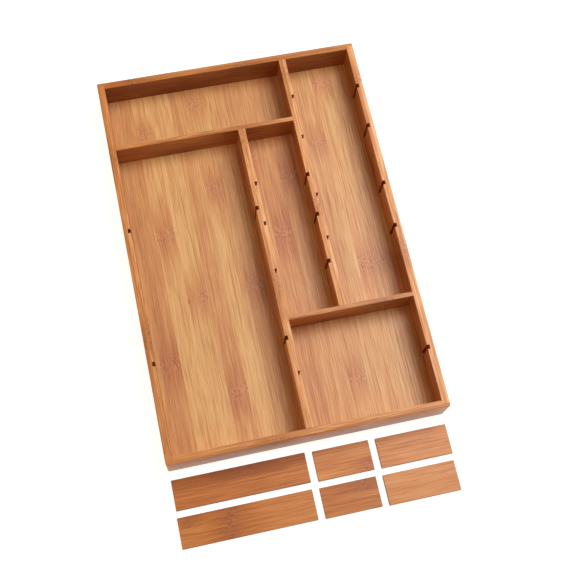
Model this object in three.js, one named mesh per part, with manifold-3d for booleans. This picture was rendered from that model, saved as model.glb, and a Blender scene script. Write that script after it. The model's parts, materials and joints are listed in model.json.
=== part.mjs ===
// Bamboo drawer organizer insert: a shallow tray with fixed partitions, and six loose dividers
// that drop into slots in its walls. The dividers lie flat in front of the tray in two rows.
// Millimetres, +X to the right, +Y to the back, +Z up. The pieces are drawn from the tray's
// front left corner on the surface it stands on, and the whole set is then moved so that the
// origin is the centre of its footprint.
import * as THREE from 'three';
import { mergeVertices } from 'three/addons/utils/BufferGeometryUtils.js';
import Module from 'manifold-3d';

const wasm = await Module();
wasm.setup();

// Driving dimensions of the tray.
const TRAY_WIDTH = 305;
const TRAY_DEPTH = 450;
const TRAY_HEIGHT = 42;
const WALL = 8; // thickness of the four walls and of the two long partitions
const CROSS = 5; // thickness of the two cross partitions
const LIP = WALL / 2; // what is left of a front or back wall beside its corner rabbet
const PANEL_UNDER = 3; // height of the bottom panel's underside above the surface
const PANEL_TOP = 8; // height of the floor of the compartments
const PANEL_GAP = 0.5; // room for the bottom panel to swell at the end of its groove

// Places of the partitions, measured from the tray's left and front outer faces.
const LONG_PARTITION_X = 149;
const REAR_PARTITION_X = 214;
const LEFT_CROSS_Y = 361.5;
const RIGHT_CROSS_Y = 127;

// Slots: upright grooves, open at the rim, that end on the bottom panel.
const SLOT_DEPTH = 3;
const SLOT_WIDTH = 4.8;
const LEFT_SLOTS = [108, 262];
const MIDDLE_SLOTS = [185, 242, 291.5];
const RIGHT_SLOTS = [212, 265, 339, 392];
const FRONT_SLOTS = [67.5];

// Loose dividers: one height and thickness, three lengths.
const DIVIDER_HEIGHT = 32.5;
const DIVIDER_THICKNESS = 4.2;
const LONG_DIVIDER = 145;
const SHORT_DIVIDER = 62;
const MEDIUM_DIVIDER = 79.5;

// How far the two rows of dividers reach in front of the tray.
const ROWS_DEPTH = 84;

const INNER_RIGHT = TRAY_WIDTH - WALL;
const INNER_BACK = TRAY_DEPTH - WALL;
const CUT_PAST = 1; // how far a cutter runs past the face it opens

const bamboo = (name, color, roughness) => {
  const material = new THREE.MeshStandardMaterial({ color, roughness, metalness: 0 });
  material.name = name;
  return material;
};
const wallBamboo = bamboo('wall_bamboo', 0xd08a4e, 0.45);
const panelBamboo = bamboo('panel_bamboo', 0xd39c63, 0.5);
const dividerBamboo = bamboo('divider_bamboo', 0xb4703a, 0.5);

// A box from its lowest to its highest corner.
function block(low, high) {
  const size = high.map((value, axis) => value - low[axis]);
  const geometry = new THREE.BoxGeometry(...size);
  geometry.translate(...high.map((value, axis) => (value + low[axis]) / 2));
  return geometry;
}

function toManifold(geometry) {
  const bare = geometry.clone();
  bare.deleteAttribute('normal');
  bare.deleteAttribute('uv');
  const merged = mergeVertices(bare);
  return new wasm.Manifold(new wasm.Mesh({
    numProp: 3,
    vertProperties: new Float32Array(merged.attributes.position.array),
    triVerts: new Uint32Array(merged.index.array),
  }));
}

function toGeometry(manifold) {
  const { vertProperties, triVerts } = manifold.getMesh();
  const geometry = new THREE.BufferGeometry();
  geometry.setAttribute('position', new THREE.BufferAttribute(vertProperties, 3));
  geometry.setIndex(new THREE.BufferAttribute(triVerts, 1));
  geometry.computeVertexNormals();
  return geometry;
}

// A board with grooves, slots or rabbets cut out of it.
function board(blank, cutters) {
  const cut = cutters.reduce(
    (solid, cutter) => solid.subtract(toManifold(cutter)),
    toManifold(blank),
  );
  return toGeometry(cut);
}

const set = new THREE.Group();

function addPiece(name, geometry, material) {
  const piece = new THREE.Mesh(geometry, material);
  piece.name = name;
  set.add(piece);
}

// Slots in the face at x, cut towards the right (side 1) or towards the left (side -1).
function slots(faceX, side, places) {
  const bottomX = faceX + side * SLOT_DEPTH;
  const mouthX = faceX - side * CUT_PAST;
  const [lowX, highX] = [Math.min(bottomX, mouthX), Math.max(bottomX, mouthX)];
  return places.map((y) => block(
    [lowX, y - SLOT_WIDTH / 2, PANEL_TOP],
    [highX, y + SLOT_WIDTH / 2, TRAY_HEIGHT + CUT_PAST],
  ));
}

// The front and back walls run the full width. Each has a rabbet at both ends, which takes the
// end of a side wall, and a groove along its inner face for the edge of the bottom panel.
function crossWall(outerY, inward) {
  const lipY = outerY + inward * LIP;
  const innerY = outerY + inward * WALL;
  const pastY = innerY + inward * CUT_PAST;
  const span = (a, b) => [Math.min(a, b), Math.max(a, b)];
  const [lowY, highY] = span(outerY, innerY);
  const [cutLowY, cutHighY] = span(lipY, pastY);
  const rabbet = (lowX, highX) => block(
    [lowX, cutLowY, -CUT_PAST],
    [highX, cutHighY, TRAY_HEIGHT + CUT_PAST],
  );
  const groove = block(
    [WALL - CUT_PAST, cutLowY, PANEL_UNDER],
    [INNER_RIGHT + CUT_PAST, cutHighY, PANEL_TOP],
  );
  return board(
    block([0, lowY, 0], [TRAY_WIDTH, highY, TRAY_HEIGHT]),
    [rabbet(-CUT_PAST, WALL), rabbet(INNER_RIGHT, TRAY_WIDTH + CUT_PAST), groove],
  );
}

addPiece('front_wall', crossWall(0, 1), wallBamboo);
addPiece('back_wall', crossWall(TRAY_DEPTH, -1), wallBamboo);

// The side walls end in the rabbets of the front and back walls. Each has the panel's groove
// along its inner face and the slots for one end of the dividers.
function sideWall(outerX, inward, places) {
  const innerX = outerX + inward * WALL;
  const grooveX = outerX + inward * LIP;
  const pastX = innerX + inward * CUT_PAST;
  const blank = block(
    [Math.min(outerX, innerX), LIP, 0],
    [Math.max(outerX, innerX), TRAY_DEPTH - LIP, TRAY_HEIGHT],
  );
  const groove = block(
    [Math.min(grooveX, pastX), LIP - CUT_PAST, PANEL_UNDER],
    [Math.max(grooveX, pastX), TRAY_DEPTH - LIP + CUT_PAST, PANEL_TOP],
  );
  return board(blank, [groove, ...slots(innerX, -inward, places)]);
}

addPiece('left_wall', sideWall(0, 1, LEFT_SLOTS), wallBamboo);
addPiece('right_wall', sideWall(TRAY_WIDTH, -1, [...FRONT_SLOTS, ...RIGHT_SLOTS]), wallBamboo);

// The bottom panel is edge-glued strip bamboo, held in the groove of all four walls.
addPiece(
  'bottom_panel',
  block(
    [LIP + PANEL_GAP, LIP + PANEL_GAP, PANEL_UNDER],
    [TRAY_WIDTH - LIP - PANEL_GAP, TRAY_DEPTH - LIP - PANEL_GAP, PANEL_TOP],
  ),
  panelBamboo,
);

// The partitions stand on the bottom panel with their tops level with the rim, glued end to
// face: the long one from the front wall to the left cross partition, the rear one from the
// right cross partition to the back wall.
addPiece(
  'long_partition',
  board(
    block(
      [LONG_PARTITION_X, WALL, PANEL_TOP],
      [LONG_PARTITION_X + WALL, LEFT_CROSS_Y, TRAY_HEIGHT],
    ),
    [
      ...slots(LONG_PARTITION_X, 1, LEFT_SLOTS),
      ...slots(LONG_PARTITION_X + WALL, -1, [...FRONT_SLOTS, ...MIDDLE_SLOTS]),
    ],
  ),
  wallBamboo,
);
addPiece(
  'rear_partition',
  board(
    block(
      [REAR_PARTITION_X, RIGHT_CROSS_Y + CROSS, PANEL_TOP],
      [REAR_PARTITION_X + WALL, INNER_BACK, TRAY_HEIGHT],
    ),
    [
      ...slots(REAR_PARTITION_X, 1, MIDDLE_SLOTS),
      ...slots(REAR_PARTITION_X + WALL, -1, RIGHT_SLOTS),
    ],
  ),
  wallBamboo,
);
addPiece(
  'left_cross_partition',
  block(
    [WALL, LEFT_CROSS_Y, PANEL_TOP],
    [REAR_PARTITION_X, LEFT_CROSS_Y + CROSS, TRAY_HEIGHT],
  ),
  wallBamboo,
);
addPiece(
  'right_cross_partition',
  block(
    [LONG_PARTITION_X + WALL, RIGHT_CROSS_Y, PANEL_TOP],
    [INNER_RIGHT, RIGHT_CROSS_Y + CROSS, TRAY_HEIGHT],
  ),
  wallBamboo,
);

// The dividers lie flat, each with the centre of its face at (x, y).
const DIVIDERS = [
  { name: 'long_divider_1', length: LONG_DIVIDER, x: 73.5, y: -26.5 },
  { name: 'long_divider_2', length: LONG_DIVIDER, x: 72.75, y: -66.25 },
  { name: 'short_divider_1', length: SHORT_DIVIDER, x: 185, y: -27.5 },
  { name: 'short_divider_2', length: SHORT_DIVIDER, x: 184, y: -67 },
  { name: 'medium_divider_1', length: MEDIUM_DIVIDER, x: 263.5, y: -28 },
  { name: 'medium_divider_2', length: MEDIUM_DIVIDER, x: 262.25, y: -67.75 },
];
for (const { name, length, x, y } of DIVIDERS) {
  addPiece(
    name,
    block(
      [x - length / 2, y - DIVIDER_HEIGHT / 2, 0],
      [x + length / 2, y + DIVIDER_HEIGHT / 2, DIVIDER_THICKNESS],
    ),
    dividerBamboo,
  );
}

set.position.set(-TRAY_WIDTH / 2, -(TRAY_DEPTH - ROWS_DEPTH) / 2, 0);

export default set;
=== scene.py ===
import json
import math

import bmesh
import bpy
from mathutils import Matrix, Vector


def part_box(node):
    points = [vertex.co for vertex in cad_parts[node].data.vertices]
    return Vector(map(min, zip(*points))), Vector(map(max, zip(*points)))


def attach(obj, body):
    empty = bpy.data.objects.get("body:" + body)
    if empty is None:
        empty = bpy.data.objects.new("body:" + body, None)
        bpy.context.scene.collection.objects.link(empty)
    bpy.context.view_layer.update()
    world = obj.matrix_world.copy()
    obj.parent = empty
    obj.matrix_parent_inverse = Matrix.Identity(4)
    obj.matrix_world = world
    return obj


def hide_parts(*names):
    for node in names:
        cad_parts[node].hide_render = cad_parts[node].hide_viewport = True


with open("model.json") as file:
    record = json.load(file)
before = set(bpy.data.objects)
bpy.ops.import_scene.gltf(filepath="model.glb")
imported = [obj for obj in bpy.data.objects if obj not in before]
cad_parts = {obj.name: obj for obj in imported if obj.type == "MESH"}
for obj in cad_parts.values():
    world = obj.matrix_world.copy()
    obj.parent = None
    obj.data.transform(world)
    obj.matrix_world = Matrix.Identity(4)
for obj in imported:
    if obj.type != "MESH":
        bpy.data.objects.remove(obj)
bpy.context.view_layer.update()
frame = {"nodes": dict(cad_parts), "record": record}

# Bottom panel. Bamboo culms are split, planed into flat strips about 22 mm wide, carbonised,
# glued edge to edge and sanded to one sheet. The sheet slides into a groove in the four walls
# as they are glued up, so its strips run from front to back.


class Wire:
    """A socket's output. Arithmetic on it adds Math nodes to the same finish."""

    def __init__(self, finish, socket):
        self.finish = finish
        self.socket = socket

    def math(self, operation, *terms):
        return self.finish.add("ShaderNodeMath", {"operation": operation}, dict(enumerate(terms)))

    def __add__(self, other):
        return self.math("ADD", self, other)

    def __radd__(self, other):
        return self.math("ADD", other, self)

    def __sub__(self, other):
        return self.math("SUBTRACT", self, other)

    def __rsub__(self, other):
        return self.math("SUBTRACT", other, self)

    def __mul__(self, other):
        return self.math("MULTIPLY", self, other)

    def __rmul__(self, other):
        return self.math("MULTIPLY", other, self)

    def __truediv__(self, other):
        return self.math("DIVIDE", self, other)

    def bell(self, half_width):
        """1 where this is 0, falling away smoothly on both sides."""
        scaled = self / half_width
        return self.math("EXPONENT", scaled * scaled * -1)

    def rise(self, low, high):
        """0 at low and 1 at high, with a smooth rise between."""
        return self.finish.add(
            "ShaderNodeMapRange",
            {"interpolation_type": "SMOOTHSTEP"},
            {"Value": self, "From Min": low, "From Max": high},
        )


class Finish:
    """A material, built node by node."""

    def __init__(self, name):
        self.material = bpy.data.materials.new(name)
        self.material.use_nodes = True
        self.tree = self.material.node_tree
        self.tree.nodes.clear()

    def add(self, kind, settings, inputs, output=0):
        """One node of this kind, its settings made first. A ramp's stops are a setting."""
        node = self.tree.nodes.new(kind)
        for key, setting in settings.items():
            if key == "stops":
                ramp = node.color_ramp
                ramp.elements.remove(ramp.elements[1])
                ramp.elements[0].color = setting[0][1]
                for position, colour in setting[1:]:
                    ramp.elements.new(position).color = colour
            elif key == "steps":
                node.color_ramp.interpolation = setting
            else:
                setattr(node, key, setting)
        for key, given in inputs.items():
            if isinstance(given, Wire):
                self.tree.links.new(given.socket, node.inputs[key])
            else:
                node.inputs[key].default_value = given
        return Wire(self, node.outputs[output]) if len(node.outputs) else node

    def split(self, kind, wire):
        """The three numbers inside a vector or a colour."""
        first = self.add(kind, {}, {0: wire})
        return [Wire(self, socket) for socket in first.socket.node.outputs[:3]]

    def noise(self, u, v, w, reach, detail=2.0, roughness=0.5):
        """Noise around 0 whose marks are reach[0] mm long with the grain and reach[1] across."""
        spot = self.add(
            "ShaderNodeCombineXYZ", {}, {0: u / reach[0], 1: v / reach[1], 2: w / reach[1]}
        )
        cloud = self.add(
            "ShaderNodeTexNoise",
            {},
            {"Vector": spot, "Scale": 1.0, "Detail": detail, "Roughness": roughness},
        )
        return cloud - 0.5

    def mix(self, share, first, second):
        return self.add(
            "ShaderNodeMix", {"data_type": "RGBA"}, {0: share, 6: first, 7: second}, output=2
        )


def tint(red, green, blue):
    """A colour given from 0 to 255 a channel, as on a screen, in the renderer's linear terms."""
    channels = []
    for level in (red / 255, green / 255, blue / 255):
        channels.append(level / 12.92 if level <= 0.04045 else ((level + 0.055) / 1.055) ** 2.4)
    return (*channels, 1.0)


MM = 1000  # millimetres in a metre
NOWHERE = 2000  # a knuckle's place, in mm, far past the end of any board
KNUCKLE_HALF = 9  # half the length, in mm, of a knuckle's marks
KNUCKLE_HALO = 30  # and of the redder wood round it
FAINT_HALF = 7
FAINT_HALO = 20
SHIFT = 400  # mm that the grain of one strip, ply or board lies away from the next one's
RIM_FADE = (2.2, 0.6)  # mm below a top edge where its paler paint, partly sanded wood and partly a painted highlight on the round, starts and is full
PORE_BROWN = tint(146, 88, 44)
CURL_BROWN = tint(138, 76, 42)
CURL_CREAM = tint(240, 194, 148)


def strip_ramp(strips, length, width):
    """Stops of a stepped ramp across a board: each strip's tone and the places of its knuckles
    as shares of the length, with a number of the strip's own in the fourth channel."""
    stops = []
    for number, (edge, tone, *knuckles) in enumerate(strips):
        first, second = [*knuckles, NOWHERE, NOWHERE][:2]
        own = number * 0.37 % 1
        stops.append((edge / width, (tone, first / length, second / length, own)))
    return stops


def bamboo(name, corner, grain, across, size, strips, tones, plies=((0, 0.5),), halo=0.5,
           curls=(0.35, 0.35), contrast=1.0, seed=0.0, rim=None, gloss=1.5):
    """Lacquered strip bamboo. corner is the board's lowest corner; grain and across are the axes
    that its strips run along and lie side by side on; size is its length, width and thickness.
    A strip has an edge, a tone from 0, golden, to 1, reddish, and up to two knuckles, the second
    a faint one; a ply, through the thickness, has an edge and a tone. tones are the stops of the
    wood's colours, halo is how far a knuckle reddens the wood, curls how dark and how pale its
    marks are, contrast how strong the grain is, seed a number that makes one board's grain
    unlike the next one's, rim the height of a top edge with how much paler it is painted,
    partly as sanded wood and partly as a painted highlight on the edge and its round, and
    gloss the lacquer's index of refraction."""
    finish = Finish(name)
    length, width, thickness = size
    place = finish.split("ShaderNodeSeparateXYZ", finish.add("ShaderNodeTexCoord", {}, {}, 3))
    u = (place[grain] - corner[grain]) * MM
    v = (place[across] - corner[across]) * MM
    w = (place[3 - grain - across] - corner[3 - grain - across]) * MM

    strip = finish.add(
        "ShaderNodeValToRGB",
        {"steps": "CONSTANT", "stops": strip_ramp(strips, length, width)},
        {0: v / width},
    )
    tone, first, second = finish.split("ShaderNodeSeparateColor", strip)
    own = Wire(finish, strip.socket.node.outputs[1])
    ply = finish.add(
        "ShaderNodeValToRGB",
        {"steps": "CONSTANT", "stops": [(edge / thickness, (t,) * 4) for edge, t in plies]},
        {0: w / thickness},
    )
    ply_tone = finish.split("ShaderNodeSeparateColor", ply)[0]
    far = u + (own * 7 + ply_tone * 5 + seed) * SHIFT

    # Knuckles, where the culm had a joint: the fibres swirl and the wood round them is redder.
    ragged = finish.noise(far, v, w, (50, 6)) * 22
    main_gap = u + ragged - first * length
    faint_gap = u + ragged - second * length
    knot = main_gap.bell(KNUCKLE_HALF) + faint_gap.bell(FAINT_HALF)
    blush = main_gap.bell(KNUCKLE_HALO) + faint_gap.bell(FAINT_HALO) * 0.8
    wander = finish.noise(far, v, w, (90, 20), detail=1) * 4
    swirl = v + wander + finish.noise(u, v, w, (8, 6)) * knot * 10

    # Grain, from broad clouds to hairs, each mark long with the grain and narrow across it.
    cloud = finish.noise(far, v, w, (150, 13))
    streak = finish.noise(far, swirl, w, (160, 2.4), detail=2)
    fibre = finish.noise(far, swirl, w, (60, 1.1), detail=2, roughness=0.6)
    hair = finish.noise(far, swirl, w, (24, 0.45), detail=1)
    curl = finish.noise(u, v, w, (3.2, 2.3), detail=1)

    # The shade, which the ramp of the wood's tones turns into a colour.
    shade = (
        tone
        + (ply_tone - 0.5)
        + cloud * (0.55 * contrast)
        + streak * (0.5 * contrast)
        + fibre * (1.2 * contrast)
        + hair * (1.0 * contrast)
        + blush * (halo * 0.85)
        + knot * (halo * 0.2)
    )
    # The top edge and its round are painted paler: partly sanded wood, partly a painted
    # highlight.
    if rim:
        height, lift = rim
        starts, is_full = (height - below for below in RIM_FADE)
        shade = shade - (place[2] * MM).rise(starts, is_full) * lift
    base = finish.add("ShaderNodeValToRGB", {"stops": tones}, {0: shade})
    pore = fibre.rise(0.07, 0.17) * 0.26 + hair.rise(0.08, 0.2) * 0.2
    base = finish.mix(pore, base, PORE_BROWN)
    dark_curl = (curl + 0.08).bell(0.035) * knot
    pale_curl = (curl - 0.07).bell(0.045) * knot
    base = finish.mix(dark_curl * curls[0], base, CURL_BROWN)
    base = finish.mix(pale_curl * curls[1], base, CURL_CREAM)

    rise = fibre * 0.6 + hair * 0.3 + streak * 0.4 - dark_curl * 0.5
    bump = finish.add("ShaderNodeBump", {}, {"Strength": 0.3, "Distance": 0.0001, "Height": rise})
    lacquer = finish.add(
        "ShaderNodeBsdfPrincipled",
        {},
        {
            "Base Color": base,
            "Roughness": 0.41 + streak * 0.3 + fibre * 0.2,
            "Normal": bump,
            "IOR": gloss,
        },
    )
    finish.add("ShaderNodeOutputMaterial", {}, {"Surface": lacquer})
    return finish.material


EDGE_ROUND = 0.0016  # the round on the tray's outer edges; every other edge gets a share of it
SHARP_ANGLE = math.radians(40)
FLAT_ANGLE = math.radians(1)  # triangles that differ by less are one face
SAME_PLACE = 1e-6  # metres within which two corners are one


def finished(node, body, finish, share, cut_finish=None, is_cut=None):
    """A copy of a CAD board with its loose triangles joined into faces and its edges rounded:
    share(a, b) says how much of the full round the edge from a to b gets, and is_cut(face)
    which faces have the cut_finish."""
    mesh = frame["nodes"][node].data.copy()
    mesh.materials.clear()
    for material in filter(None, (finish, cut_finish)):
        mesh.materials.append(material)
    shape = bmesh.new()
    shape.from_mesh(mesh)
    bmesh.ops.remove_doubles(shape, verts=shape.verts, dist=SAME_PLACE)
    bmesh.ops.dissolve_limit(
        shape, angle_limit=FLAT_ANGLE, verts=shape.verts, edges=shape.edges
    )
    for face in shape.faces:
        face.smooth = False
        face.material_index = int(bool(is_cut and is_cut(face)))
    weight = shape.edges.layers.float.new("bevel_weight_edge")
    for edge in shape.edges:
        if edge.calc_face_angle_signed(0) > SHARP_ANGLE:
            edge[weight] = share(*(vert.co for vert in edge.verts))
    shape.to_mesh(mesh)
    shape.free()
    piece = bpy.data.objects.new(node + "_wood", mesh)
    bpy.context.scene.collection.objects.link(piece)
    rounding = piece.modifiers.new("rounded edges", "BEVEL")
    rounding.limit_method = "WEIGHT"
    rounding.width = EDGE_ROUND
    rounding.segments = 6
    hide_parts(node)
    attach(piece, body)
    return piece


PANEL_TONES = [
    (0.0, tint(233, 185, 124)),
    (0.15, tint(224, 170, 109)),
    (0.35, tint(215, 153, 97)),
    (0.7, tint(202, 132, 84)),
    (1.0, tint(188, 113, 70)),
]
# Each strip's left edge from the panel's left edge, its tone, and its knuckles from the front.
PANEL_STRIPS = [
    (0, 0.38),
    (7, 0.42, 108),
    (29, 0.12, 258, 387),
    (50.5, 0.10, 178),
    (73, 0.36, 62),
    (95, 0.14, 306, 417),
    (117, 0.26, 180),
    (139, 0.38, 330),
    (161, 0.42, 235),
    (183, 0.34, 305, 438),
    (205, 0.34, NOWHERE, 54),
    (226.5, 0.30, NOWHERE, 341),
    (248.5, 0.20, 182, 417),
    (270.5, 0.32, NOWHERE, 180),
]
panel_low, panel_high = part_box("bottom_panel")
panel_size = [(panel_high - panel_low)[axis] * MM for axis in (1, 0, 2)]
panel_finish = bamboo(
    "panel bamboo", panel_low, 1, 0, panel_size, PANEL_STRIPS, PANEL_TONES, halo=0.5,
    curls=(0.24, 0.42),
)
finished("bottom_panel", "tray", panel_finish, lambda a, b: 0)

# Walls and partitions. Each is two plies of strip bamboo pressed together, 8 mm thick for the
# walls and the long partitions and 5 mm for the cross partitions, with sawn grooves that take
# the loose dividers. They are rabbeted and glued at the corners, and butt glued elsewhere.

WALL_TONES = [
    (0.0, tint(247, 188, 136)),
    (0.14, tint(240, 172, 110)),
    (0.3, tint(216, 143, 81)),
    (0.6, tint(192, 120, 60)),
    (0.8, tint(174, 102, 48)),
    (1.0, tint(140, 74, 32)),
]
tray_low, tray_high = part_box("front_wall")
tray_high.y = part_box("back_wall")[1].y
NEAR = 0.0005  # metres within which an edge counts as lying on a side
SHORT_EDGE = 0.02  # metres, longer than a slot or a partition's end
OUTER_ROUND = 1.0  # shares of the full round
FOOT_ROUND = 0.5
ARRIS = 0.15
HAIRLINE = 0.06


def tray_edge(a, b):
    """Full rounds on the outer top edges and corners, half ones at the foot, a light one on the
    long inner top edges, and a hairline on the short ones, at the slots and the glued joints."""
    middle = (a + b) / 2
    run = b - a
    on_outside = any(
        abs(middle[axis] - side[axis]) < NEAR
        for axis in (0, 1)
        for side in (tray_low, tray_high)
    )
    level = abs(run.z) < NEAR
    if level and middle.z > tray_high.z - NEAR:
        if on_outside:
            return OUTER_ROUND
        return ARRIS if run.length > SHORT_EDGE else HAIRLINE
    if on_outside and level and middle.z < NEAR:
        return FOOT_ROUND
    at_corner = min(abs(middle.x - tray_low.x), abs(middle.x - tray_high.x)) < NEAR
    at_end = min(abs(middle.y - tray_low.y), abs(middle.y - tray_high.y)) < NEAR
    return OUTER_ROUND if at_corner and at_end else 0


DIVIDER_SLOTS = [
    opening["box_m"]
    for opening in frame["record"]["physics"]["openings"]
    if "divider_slot" in opening["name"]
]
SLOT_MARGIN = 0.0003  # metres, a little more than a slot's faces lie outside its stated box


def in_slot(face):
    point = face.calc_center_median()
    return any(
        all(low[k] - SLOT_MARGIN <= point[k] <= high[k] + SLOT_MARGIN for k in range(3))
        for low, high in DIVIDER_SLOTS
    )


ONE_STRIP = [(0, 0.5)]
DULL = 1.2  # the index of refraction that stands for bare wood, which hardly shines
# The groove faces are painted darker brown than the walls: partly darker sawn wood, partly
# painted shade for the deep narrow slots.
SAWN_AND_SHADE_TONES = [(0.0, tint(190, 110, 54)), (0.5, tint(146, 78, 34)), (1.0, tint(104, 50, 18))]
sawn_and_shaded = bamboo(
    "sawn groove", (0, 0, 0), 1, 2, (450, 42, 300), ONE_STRIP, SAWN_AND_SHADE_TONES, contrast=1.5,
    gloss=DULL,
)
# Each board's grain axis, its tone against the others', how much paler its top edge is painted,
# partly as sanded wood and partly as a painted highlight, and the knuckles of its lower and
# upper strip, which meet halfway up the tray.
BOARDS = {
    "front_wall": (0, -0.02, 0.22, (60, 205), (118, NOWHERE)),
    "back_wall": (0, 0.23, 0.33, (95, 250), (40, 175)),
    "left_wall": (1, 0.03, 0.25, (126, 348), (136, 352)),
    "right_wall": (1, 0.02, 0.42, (70, 290), (180, 400)),
    "long_partition": (1, -0.28, 0.02, (60, 262), (160, 340)),
    "rear_partition": (1, -0.08, 0.30, (40, 222), (120, 290)),
    "left_cross_partition": (0, 0.06, 0.25, (70,), (150,)),
    "right_cross_partition": (0, -0.10, 0.04, (40,), (110,)),
}
for count, (node, (grain, tone, lift, lower, upper)) in enumerate(BOARDS.items()):
    low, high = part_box(node)
    size = [(high - low)[axis] * MM for axis in (grain, 2, 1 - grain)]
    halfway = (tray_high.z / 2 - low.z) * MM
    strips = [(0, 0.58 + tone, *lower), (halfway, 0.62 + tone, *upper)]
    plies = [(0, 0.56), (size[2] * 0.52, 0.44)]
    finish = bamboo(
        node.replace("_", " ") + " bamboo", low, grain, 2, size, strips, WALL_TONES, plies,
        halo=0.25, curls=(0.35, 0.12), contrast=0.9, seed=count * 1.7, rim=(high.z * MM, lift),
        gloss=1.47,
    )
    finished(node, "tray", finish, tray_edge, sawn_and_shaded, in_slot)

# Dividers. Six loose slats of flat strip bamboo, 4.2 mm thick, cut to the widths of the three
# columns and sanded, which drop into facing grooves from above.
DIVIDER_TONES = [
    (0.0, tint(228, 163, 99)),
    (0.35, tint(218, 145, 81)),
    (0.65, tint(204, 124, 56)),
    (1.0, tint(170, 93, 34)),
]
# The slats' upright edges are painted dark brown: partly darker sawn edge grain, partly painted
# shade for side faces that the key light leaves in shadow.
END_AND_SHADE_TONES = [(0.0, tint(98, 54, 26)), (0.5, tint(72, 37, 16)), (1.0, tint(50, 24, 9))]
shaded_end_grain = bamboo(
    "sawn divider edge", (0, 0, 0), 0, 1, (300, 90, 5), ONE_STRIP, END_AND_SHADE_TONES, contrast=1.4,
    gloss=DULL,
)


def is_upright(face):
    return abs(face.normal.z) < 0.5


SLAT_ROUND = 0.25  # share of the full round
# Each slat's strips: the edge from its front, the tone, and the knuckles from its left end.
DIVIDERS = {
    "long_divider_1": [(0, 0.73), (20, 0.85, 80)],
    "long_divider_2": [(0, 0.54, 54), (20, 0.58, 54, 10)],
    "short_divider_1": [(0, 0.42, 60), (15, 0.47)],
    "short_divider_2": [(0, 0.74), (20, 0.70, 45)],
    "medium_divider_1": [(0, 0.50), (16, 0.54)],
    "medium_divider_2": [(0, 0.38), (11, 0.42)],
}
for count, (node, strips) in enumerate(DIVIDERS.items()):
    low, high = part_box(node)
    size = [(high - low)[axis] * MM for axis in (0, 1, 2)]
    finish = bamboo(
        node.replace("_", " ") + " bamboo", low, 0, 1, size, strips, DIVIDER_TONES,
        halo=0.4, curls=(0.8, 0.1), contrast=0.8, seed=0.7 + count * 2.3,
    )
    finished(node, node, finish, lambda a, b: SLAT_ROUND, shaded_end_grain, is_upright)

# Surface, lights and camera. The set lies on a sweep of white paper, flat under it and curling up
# all round at a distance, which glows as paper lit from below does. One large soft light stands
# to the right and slightly behind, and a weak one fills from the left.
FLAT_RADIUS = 3.5
CURL_RADIUS = 1.2
CURL_STEPS = 12
ROUND_STEPS = 96
SEAM = 1e-5  # metres within which the two ends of a turn join
sweep = bmesh.new()
edge_of_flat = bmesh.ops.create_vert(sweep, co=(FLAT_RADIUS, 0, 0))["vert"]
bmesh.ops.spin(
    sweep,
    geom=edge_of_flat,
    cent=(FLAT_RADIUS, 0, CURL_RADIUS),
    axis=(0, -1, 0),
    angle=math.tau / 4,
    steps=CURL_STEPS,
)
centre = bmesh.ops.create_vert(sweep, co=(0, 0, 0))["vert"]
sweep.edges.new(centre + edge_of_flat)
bmesh.ops.spin(
    sweep,
    geom=sweep.verts[:] + sweep.edges[:],
    axis=(0, 0, 1),
    angle=math.tau,
    steps=ROUND_STEPS,
    use_merge=True,
)
bmesh.ops.remove_doubles(sweep, verts=sweep.verts, dist=SEAM)
bmesh.ops.recalc_face_normals(sweep, faces=sweep.faces)
for face in sweep.faces:
    face.smooth = True
sheet_mesh = bpy.data.meshes.new("white_surface")
sweep.to_mesh(sheet_mesh)
sweep.free()
surface = bpy.data.objects.new("white_surface", sheet_mesh)
bpy.context.scene.collection.objects.link(surface)
paper = Finish("white paper")
spot = paper.add("ShaderNodeTexCoord", {}, {}, 3)
fuzz = paper.add("ShaderNodeTexNoise", {}, {"Vector": spot, "Scale": 900.0, "Detail": 2.0})
sheet = paper.add(
    "ShaderNodeBsdfPrincipled",
    {},
    {
        "Base Color": (0.35, 0.35, 0.35, 1),
        "Roughness": 0.9 + (fuzz - 0.5) * 0.1,
        "Emission Color": (1, 0.985, 0.96, 1),
        "Emission Strength": 0.93,
    },
)
paper.add("ShaderNodeOutputMaterial", {}, {"Surface": sheet})
sheet_mesh.materials.append(paper.material)

world = bpy.data.worlds.new("studio")
bpy.context.scene.world = world
world.use_nodes = True
room = world.node_tree.nodes["Background"]
room.inputs["Color"].default_value = (1, 0.8, 0.6, 1)
room.inputs["Strength"].default_value = 0.05


def softbox(name, turn, height, distance, side, power, colour):
    """A square light aimed at the tray, turned from +X and raised by degrees; the rest in
    metres and watts."""
    lamp = bpy.data.lights.new(name, "AREA")
    lamp.color = colour
    lamp.size = side
    lamp.energy = power
    holder = bpy.data.objects.new(name, lamp)
    turn, height = math.radians(turn), math.radians(height)
    away = Vector((math.cos(turn) * math.cos(height), math.sin(turn) * math.cos(height), 0))
    away.z = math.sin(height)
    holder.location = away * distance
    holder.rotation_euler = away.to_track_quat("Z", "Y").to_euler()
    bpy.context.scene.collection.objects.link(holder)


softbox("key", turn=22, height=58, distance=2.2, side=1.45, power=44.5, colour=(1, 0.99, 0.97))
softbox("fill", turn=185, height=55, distance=1.5, side=0.9, power=4.6, colour=(1, 0.76, 0.54))

bpy.context.scene.view_settings.view_transform = "Standard"

CAMERA_PLACE = Vector((-0.11724, -0.34869, 1.06995))
CAMERA_AIM = Vector((0.01843, -0.00964, 0))
CAMERA_ROLL = math.radians(9.876)
camera_data = bpy.data.cameras.new("camera")
camera_data.lens = 61.86
camera = bpy.data.objects.new("camera", camera_data)
bpy.context.scene.collection.objects.link(camera)
camera.location = CAMERA_PLACE
looking = (CAMERA_AIM - CAMERA_PLACE).to_track_quat("-Z", "Y").to_matrix()
camera.rotation_euler = (looking @ Matrix.Rotation(CAMERA_ROLL, 3, "Z")).to_euler()
bpy.context.scene.camera = camera
